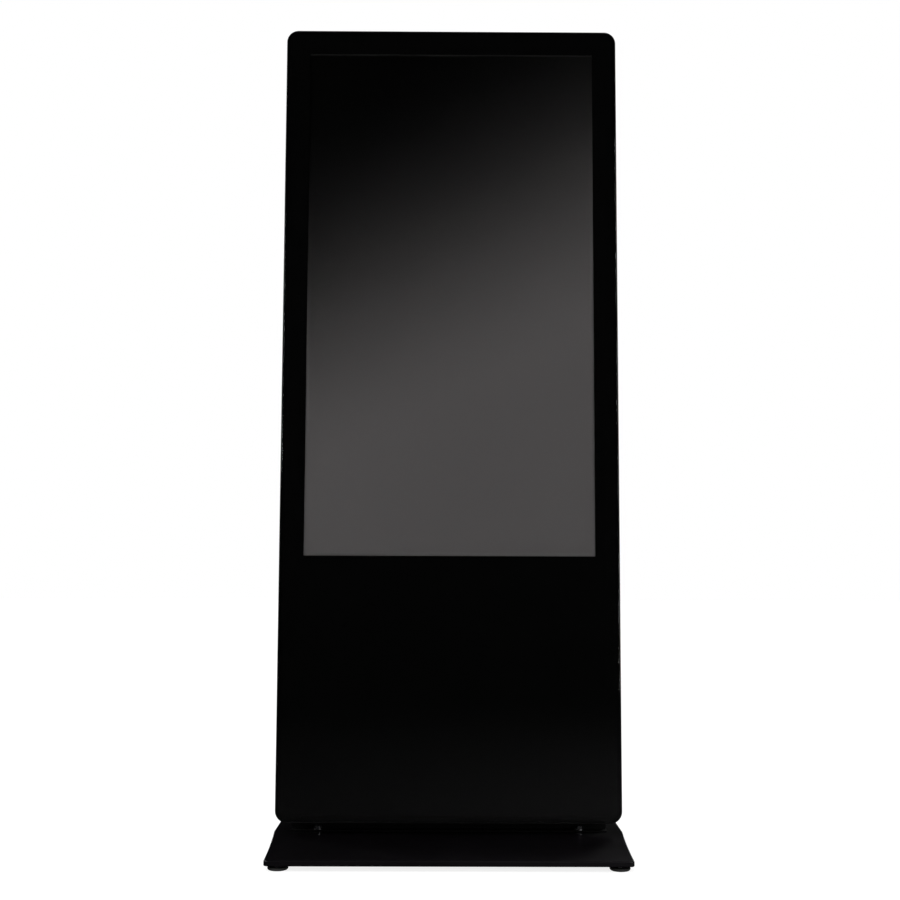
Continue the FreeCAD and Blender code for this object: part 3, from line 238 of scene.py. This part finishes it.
def screen_material(name):
    """A dark display face: near black in the upper left, easing to dark grey lower down.

    The gradient is painted on the face and stands for room light seen in the glass, so it stays put when
    the camera moves. The lift makes up for the shade that the print throws along the window's edges.
    """
    material, tree = new_material(name)
    axes = node(tree, "ShaderNodeSeparateXYZ", {0: place(tree)})
    across = math_node(tree, "MULTIPLY", axes.outputs["X"], -FADE_SLANT)
    height = math_node(tree, "ADD", axes.outputs["Z"], across)
    wander = remap(tree, noise(tree, 2.2, detail=3.0), 0.0, 1.0, -0.008, 0.008)
    height = math_node(tree, "ADD", height, wander)
    fade = remap(tree, height, FADE_DARK, FADE_FULL, 0.0, 1.0, "SMOOTHSTEP")
    curve = math_node(tree, "POWER", remap(tree, fade, 0.0, 1.0, FADE_FLOOR, 1.0), FADE_POWER)
    fine = remap(tree, noise(tree, 700.0, detail=1.0), 0.0, 1.0, 0.97, 1.03)
    curve = math_node(tree, "MULTIPLY", curve, fine)
    curve = math_node(tree, "MULTIPLY", curve, remap(tree, axes.outputs["X"], -0.33, 0.0, 1.0, 0.935))
    side = remap(tree, math_node(tree, "ABSOLUTE", axes.outputs["X"]), *SIDE_LIFT, 0.0, 1.0)
    foot = remap(tree, axes.outputs["Z"], *FOOT_LIFT, 0.0, 1.0)
    lift = remap(tree, math_node(tree, "MAXIMUM", side, foot), 0.0, 1.0, 1.0, 1.6)
    curve = math_node(tree, "MULTIPLY", curve, lift)
    body = mix_color(tree, curve, rgba((0.0, 0.0, 0.0)), rgba(DISPLAY_GREY))
    # A painted light line along the window's top edge.
    top = remap(tree, axes.outputs["Z"], *TOP_LINE, 0.0, 0.12)
    body = mix_color(tree, top, body, rgba((0.12, 0.115, 0.118)))
    gloss = remap(tree, noise(tree, 5.0, detail=2.0), 0.3, 0.7, 0.42, 0.5)
    shader = node(tree, "ShaderNodeBsdfPrincipled", {
        "Base Color": body, "Roughness": gloss, "Specular IOR Level": 0.15,
        "Normal": bump(tree, noise(tree, 2500.0, detail=0.0), 0.004 * MM)})
    finish_material(tree, shader.outputs["BSDF"])
    return material


def spangled_steel(name):
    """Galvanised sheet: interlocking zinc crystals of slightly different greys."""
    material, tree = new_material(name)
    crystal = node(tree, "ShaderNodeSeparateColor", {0: cells(tree, 95.0)})
    shade = mix_color(tree, crystal.outputs["Red"], rgba((0.40, 0.41, 0.42)), rgba((0.62, 0.63, 0.64)))
    stain = remap(tree, noise(tree, 11.0, detail=5.0), 0.35, 0.7, 0.0, 0.35)
    shade = mix_color(tree, stain, shade, rgba((0.36, 0.355, 0.34)))
    gloss = remap(tree, crystal.outputs["Green"], 0.0, 1.0, 0.28, 0.46)
    edges, soft = edge_wear(tree, 0.4 * MM)
    shader = node(tree, "ShaderNodeBsdfPrincipled", {
        "Base Color": shade, "Roughness": gloss, "Metallic": 1.0,
        "Normal": bump(tree, noise(tree, 420.0, detail=2.0), 0.02 * MM, soft)})
    finish_material(tree, shader.outputs["BSDF"])
    return material


def board_material(name, face_y):
    """A circuit board: green mask with copper tracks, and dark or pale parts standing on it."""
    material, tree = new_material(name)
    mask = mix_color(tree, remap(tree, noise(tree, 30.0), 0.3, 0.7, 0.0, 1.0),
                     rgba((0.008, 0.06, 0.03)), rgba((0.012, 0.095, 0.045)))
    tracks = node(tree, "ShaderNodeTexBrick", {
        "Vector": place(tree), "Scale": 60.0, "Mortar Size": 0.03, "Color1": rgba((0, 0, 0)),
        "Color2": rgba((0, 0, 0)), "Mortar": rgba((1, 1, 1)), "Row Height": 0.31})
    copper = math_node(tree, "MULTIPLY", tracks.outputs["Fac"], 0.5)
    mask = mix_color(tree, copper, mask, rgba((0.02, 0.16, 0.07)))
    pads = remap(tree, cells(tree, 170.0, output="Distance"), 0.16, 0.12, 0.0, 1.0)
    mask = mix_color(tree, pads, mask, rgba((0.75, 0.66, 0.42)))
    axes = node(tree, "ShaderNodeSeparateXYZ", {0: place(tree)})
    raised = remap(tree, axes.outputs["Y"], face_y, face_y + 0.2 * MM, 0.0, 1.0)
    pick = node(tree, "ShaderNodeSeparateColor", {0: cells(tree, 22.0)})
    part = mix_color(tree, math_node(tree, "GREATER_THAN", pick.outputs["Red"], 0.72),
                     rgba((0.012, 0.012, 0.013)), rgba((0.55, 0.54, 0.5)))
    body = mix_color(tree, raised, mask, part)
    gloss = remap(tree, noise(tree, 40.0), 0.3, 0.7, 0.28, 0.45)
    shader = node(tree, "ShaderNodeBsdfPrincipled", {
        "Base Color": body, "Roughness": gloss,
        "Normal": bump(tree, noise(tree, 600.0, detail=1.0), 0.02 * MM)})
    finish_material(tree, shader.outputs["BSDF"])
    return material


# ---------------------------------------------------------------- mesh helpers

def to_object(name, mesh_builder, material, sharp=35.0):
    mesh = bpy.data.meshes.new(name)
    mesh_builder.to_mesh(mesh)
    mesh_builder.free()
    mesh.polygons.foreach_set("use_smooth", [True] * len(mesh.polygons))
    mesh.set_sharp_from_angle(angle=math.radians(sharp))
    made = bpy.data.objects.new(name, mesh)
    scene.collection.objects.link(made)
    mesh.materials.append(material)
    return made


def rounded_outline(low, high, radius, steps=14):
    """Points (x, z) round a rectangle with rounded corners, counter-clockwise."""
    points = []
    corners = ((high[0] - radius, low[1] + radius, -90), (high[0] - radius, high[1] - radius, 0),
               (low[0] + radius, high[1] - radius, 90), (low[0] + radius, low[1] + radius, 180))
    for x, z, start in corners:
        for i in range(steps + 1):
            a = math.radians(start + 90 * i / steps)
            points.append((x + radius * math.cos(a), z + radius * math.sin(a)))
    return points


def loop_of(maker, points, y):
    return [maker.verts.new((x, y, z)) for x, z in points]


def bridge(maker, a, b):
    count = len(a)
    for i in range(count):
        maker.faces.new((a[i], a[(i + 1) % count], b[(i + 1) % count], b[i]))


def pane(name, low, high, radius, y_front, y_rear, edge, material):
    """A flat sheet with rounded corners and a rounded front edge.

    A flat ring inside the rounding keeps the big front face's normals straight.
    """
    maker = bmesh.new()
    inner = 3 * edge
    middle = rounded_outline((low[0] + inner, low[1] + inner), (high[0] - inner, high[1] - inner),
                             radius - edge)
    rings = [loop_of(maker, middle, y_front)]
    steps = 7
    for i in range(steps + 1):
        a = math.pi / 2 * i / steps
        inset = edge * (1 - math.sin(a))
        y = y_front + edge * (1 - math.cos(a))
        around = rounded_outline((low[0] + inset, low[1] + inset), (high[0] - inset, high[1] - inset),
                                 radius - inset)
        rings.append(loop_of(maker, around, y))
    rings.append(loop_of(maker, rounded_outline(low, high, radius), y_rear))
    for a, b in zip(rings, rings[1:]):
        bridge(maker, a, b)
    maker.faces.new(rings[0])
    maker.faces.new(list(reversed(rings[-1])))
    bmesh.ops.recalc_face_normals(maker, faces=maker.faces)
    return to_object(name, maker, material)


def frame_sheet(name, low, high, radius, window, y_front, y_rear, material):
    """A thin sheet with rounded outer corners and a rectangular window."""
    maker = bmesh.new()
    outer = rounded_outline(low, high, radius)
    per_side = len(outer) // 4
    (wx0, wz0), (wx1, wz1) = window
    inner_corners = ((wx1, wz0), (wx1, wz1), (wx0, wz1), (wx0, wz0))
    inner = [inner_corners[i // per_side] for i in range(len(outer))]
    sheets = []
    for y in (y_front, y_rear):
        ring = loop_of(maker, outer, y)
        corner = [maker.verts.new((x, y, z)) for x, z in inner_corners]
        for i in range(len(outer)):
            j = (i + 1) % len(outer)
            a, b = corner[i // per_side], corner[j // per_side]
            face = (ring[i], ring[j], b, a) if a is not b else (ring[i], ring[j], a)
            maker.faces.new(face)
        sheets.append((ring, corner))
    bridge(maker, sheets[0][0], sheets[1][0])
    bridge(maker, sheets[0][1], sheets[1][1])
    bmesh.ops.recalc_face_normals(maker, faces=maker.faces)
    return to_object(name, maker, material)


# ---------------------------------------------------------------- materials

black = (0.0035, 0.0034, 0.0035)
MATERIALS = {
    "black_frame": coated("frame_gloss_paint", black, 0.16, mottle=6.0, grain=350.0, grain_depth=0.01 * MM,
                          rough_spread=0.04, edge=0.3 * MM, wear=0.2, coat=0.3),
    "black_corner": coated("corner_gloss_paint", black, 0.17, mottle=6.0, grain=380.0, grain_depth=0.012 * MM,
                           rough_spread=0.04, edge=0.3 * MM, wear=0.2, coat=0.3),
    "black_powder": coated("powder_coat", (0.011, 0.011, 0.0115), 0.5, grain=1100.0, grain_depth=0.06 * MM,
                           edge=0.8 * MM, wear=0.45, rough_spread=0.05, spread=0.1),
    # The plinth's coat is darker than its own black: painted shade for the gap under the cabinet.
    "plinth_paint": coated("plinth_shade_coat", (0.001, 0.001, 0.001), 0.7, grain=1100.0, grain_depth=0.06 * MM,
                           edge=0.5 * MM, wear=0.15, spread=0.2, specular=0.15, worn=(0.004, 0.004, 0.004)),
    # The base plate's paint is lightened towards its front edge with painted light.
    "base_paint": coated("base_satin_paint", (0.0021, 0.0015, 0.0024), 0.34, grain=1300.0,
                         grain_depth=0.008 * MM, edge=0.6 * MM, wear=0.1, rough_spread=0.04, spread=0.3,
                         mottle=5.0, worn=(0.01, 0.009, 0.011), painted_front_light=(0.0058, 0.0048, 0.0062)),
    "black_fixings": coated("black_zinc", (0.02, 0.02, 0.021), 0.42, metallic=0.6, edge=0.3 * MM),
    "io_plate": coated("panel_powder_coat", (0.035, 0.035, 0.037), 0.5, grain=1200.0, grain_depth=0.05 * MM,
                       edge=0.4 * MM),
    "black_plastic": coated("moulded_black", (0.014, 0.014, 0.015), 0.45, grain=1500.0, grain_depth=0.03 * MM,
                            edge=0.5 * MM, wear=0.25),
    "gloss_black_plastic": coated("glossy_moulding", (0.012, 0.012, 0.012), 0.18, grain=700.0,
                                  grain_depth=0.01 * MM, edge=0.4 * MM, wear=0.2, coat=0.3),
    "foot_rubber": coated("foot_rubber", (0.012, 0.0118, 0.0115), 0.72, grain=1400.0, grain_depth=0.08 * MM,
                          edge=0.6 * MM, wear=0.6, worn=(0.05, 0.05, 0.049)),
    "foam_tape": coated("foam_tape", (0.01, 0.01, 0.01), 0.9, grain=2200.0, grain_depth=0.1 * MM),
    "cable_jacket": coated("cable_jacket", (0.014, 0.014, 0.014), 0.5, grain=800.0, edge=0.3 * MM, wear=0.2),
    "player_case": coated("anodised_black", (0.022, 0.022, 0.024), 0.36, metallic=0.7, grain=1600.0,
                          grain_depth=0.015 * MM, edge=0.5 * MM, worn=(0.3, 0.3, 0.3),
                          stretch=(1.0, 1.0, 12.0)),
    "supply_case": coated("plated_case", (0.55, 0.56, 0.56), 0.34, metallic=0.9, grain=500.0,
                          grain_depth=0.02 * MM, edge=0.5 * MM, spread=0.12, stretch=(0.08, 1.0, 1.0)),
    "port_metal": coated("nickel_shell", (0.52, 0.51, 0.48), 0.3, metallic=1.0, grain=900.0, edge=0.3 * MM,
                         spread=0.1, stretch=(0.1, 1.0, 1.0)),
    "steel_fixings": coated("zinc_plate", (0.6, 0.6, 0.62), 0.3, metallic=1.0, grain=1200.0, spread=0.15,
                            edge=0.25 * MM),
    "bright_bolts": coated("bright_bolt_plate", (0.75, 0.75, 0.77), 0.26, metallic=1.0, grain=1500.0,
                           spread=0.12, edge=0.5 * MM, mottle=60.0),
    "chrome": coated("lock_chrome", (0.72, 0.72, 0.74), 0.14, metallic=1.0, grain=900.0, grain_depth=0.006 * MM,
                     spread=0.08, edge=0.3 * MM, rough_spread=0.05),
    "diffuser": coated("milky_acrylic", (0.8, 0.8, 0.79), 0.4, spread=0.03, grain=900.0),
    "zinc_steel": spangled_steel("galvanised_sheet"),
    # The front glass carries a painted light veil along its foot.
    "glass": clear_sheet("front_glass", (0.985, 0.99, 0.988), 0.012, low_light_veil=0.002),
    "touch_film": clear_sheet("touch_film", (0.97, 0.97, 0.96), 0.05, ior=1.2),
    "black_print": coated("glass_print", (0.0009, 0.0009, 0.0009), 0.35, grain=1800.0, grain_depth=0.004 * MM,
                          wear=0.0, specular=0.02, spread=0.1),
    "lcd": screen_material("display_face"),
}
# Where each board's bare face lies, in millimetres behind the glass front; parts on it reach further back.
BOARD_FACES = {"control_board": 35.6, "touch_controller": 53.1, "led_bars": 23.6}

slots = {entry["node"]: entry["material_slot"] for entry in frame["record"]["subparts"]}
for name, slot_name in slots.items():
    shown = nodes[name]
    shown.data.materials.clear()
    if name in BOARD_FACES:
        shown.data.materials.append(board_material(name + "_face", BOARD_FACES[name] * MM))
    else:
        shown.data.materials.append(MATERIALS[slot_name])


# ---------------------------------------------------------------- front

def make_front():
    low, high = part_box("front_glass")
    glass = pane("front_glass_pane", (low.x, low.z), (high.x, high.z), GLASS_CORNER,
                 low.y, high.y - 0.1 * MM, GLASS_EDGE, MATERIALS["glass"])
    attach(glass, "cabinet")
    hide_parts("front_glass")

    low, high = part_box("black_border")
    cell_low, cell_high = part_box("lcd_cell")
    xc = (cell_low.x + cell_high.x) / 2
    zc = (cell_low.z + cell_high.z) / 2
    half_w, half_h = (size / 2 for size in WINDOW_SIZE)
    window = ((xc - half_w, zc - half_h), (xc + half_w, zc + half_h))
    print_sheet = frame_sheet("glass_print", (low.x, low.z), (high.x, high.z), PRINT_CORNER, window,
                              low.y + 0.03 * MM, high.y - 0.03 * MM, MATERIALS["black_print"])
    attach(print_sheet, "cabinet")
    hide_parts("black_border")


make_front()


# ---------------------------------------------------------------- room, light and camera

def stage_plane(name, x0, x1, y0, y1, z, material):
    maker = bmesh.new()
    maker.faces.new([maker.verts.new(p) for p in ((x0, y0, z), (x1, y0, z), (x1, y1, z), (x0, y1, z))])
    made = to_object(name, maker, material)
    return made


def make_room():
    """A pale floor that glows a little, so that shadows stay soft, in an even white room.

    Mirror rays see neither the room nor the floor, but only the dim card in front of the glass.
    """
    material, tree = new_material("pale_floor")
    shade = mix_color(tree, noise(tree, 1.5, detail=2.0), rgba((0.2, 0.2, 0.2)), rgba((0.24, 0.24, 0.24)))
    shader = node(tree, "ShaderNodeBsdfPrincipled", {"Base Color": shade, "Roughness": 0.8,
                                                     "Specular IOR Level": 0.1, "Emission Color": (1, 1, 1, 1),
                                                     "Emission Strength": 0.82})
    finish_material(tree, shader.outputs["BSDF"])
    floor = stage_plane("floor", -25, 25, -25, 25, 0.0, material)
    floor.visible_glossy = False

    material, tree = new_material("dim_floor_glow")
    axes = node(tree, "ShaderNodeSeparateXYZ", {0: place(tree)})
    near = remap(tree, axes.outputs["Y"], -3.4, -0.3, 0.0, 1.0)
    right = remap(tree, axes.outputs["X"], -0.5, 0.6, 0.008, 0.034)
    glow = node(tree, "ShaderNodeEmission", {"Color": (1.0, 0.97, 1.0, 1.0),
                                             "Strength": math_node(tree, "MULTIPLY", near, right)})
    finish_material(tree, glow.outputs["Emission"])
    card = stage_plane("dim_floor", -3, 3, -3.35, -0.26, 0.002, material)
    card.visible_camera = False
    card.visible_diffuse = False
    card.visible_shadow = False
    card.visible_transmission = False

    world = bpy.data.worlds.new("studio")
    scene.world = world
    world.use_nodes = True
    world.node_tree.nodes["Background"].inputs["Color"].default_value = (1, 1, 1, 1)
    world.node_tree.nodes["Background"].inputs["Strength"].default_value = 1.0
    world.cycles_visibility.glossy = False


def area_light(name, place_at, aim, width, height, power):
    light = bpy.data.lights.new(name, "AREA")
    light.shape = "RECTANGLE"
    light.size = width
    light.size_y = height
    light.energy = power
    made = bpy.data.objects.new(name, light)
    made.location = place_at
    made.rotation_mode = "QUATERNION"
    made.rotation_quaternion = (Vector(aim) - Vector(place_at)).to_track_quat("-Z", "Y")
    made.visible_camera = False
    scene.collection.objects.link(made)


def make_lights():
    sun = bpy.data.lights.new("soft_key", "SUN")
    sun.energy = 0.9
    sun.angle = math.radians(35)
    key = bpy.data.objects.new("soft_key", sun)
    key.rotation_euler = (math.radians(28), math.radians(-18), 0)
    key.visible_glossy = False
    scene.collection.objects.link(key)
    area_light("side_left", (-2.1, -1.3, 1.55), (0, 0.05, 1.1), 0.8, 1.1, 11)
    area_light("side_right", (2.1, -1.3, 1.4), (0, 0.05, 1.0), 0.6, 2.0, 14)
    area_light("low_front_right", (1.5, -1.7, 0.35), (0.2, 0.05, 0.05), 0.5, 0.4, 3)
    area_light("rear_right", (1.75, 2.3, 1.4), (0, 0.1, 0.8), 0.8, 1.6, 13)
    area_light("rear_left", (-2.8, 1.3, 2.3), (0, 0.1, 1.0), 0.9, 1.2, 24)


def make_camera():
    data = bpy.data.cameras.new("view")
    data.lens = CAMERA_LENS
    data.sensor_width = 36.0
    data.clip_end = 100.0
    camera = bpy.data.objects.new("view", data)
    camera.location = CAMERA_AT
    pitch = math.radians(CAMERA_PITCH)
    turn = math.radians(CAMERA_TURN)
    ahead = Vector((math.sin(turn) * math.cos(pitch), math.cos(turn) * math.cos(pitch), math.sin(pitch)))
    camera.rotation_mode = "QUATERNION"
    roll = Quaternion((0, 0, 1), math.radians(CAMERA_ROLL))
    camera.rotation_quaternion = ahead.to_track_quat("-Z", "Y") @ roll
    scene.collection.objects.link(camera)
    scene.camera = camera


make_room()
make_lights()
make_camera()
scene.view_settings.view_transform = "Standard"
scene.view_settings.look = "None"
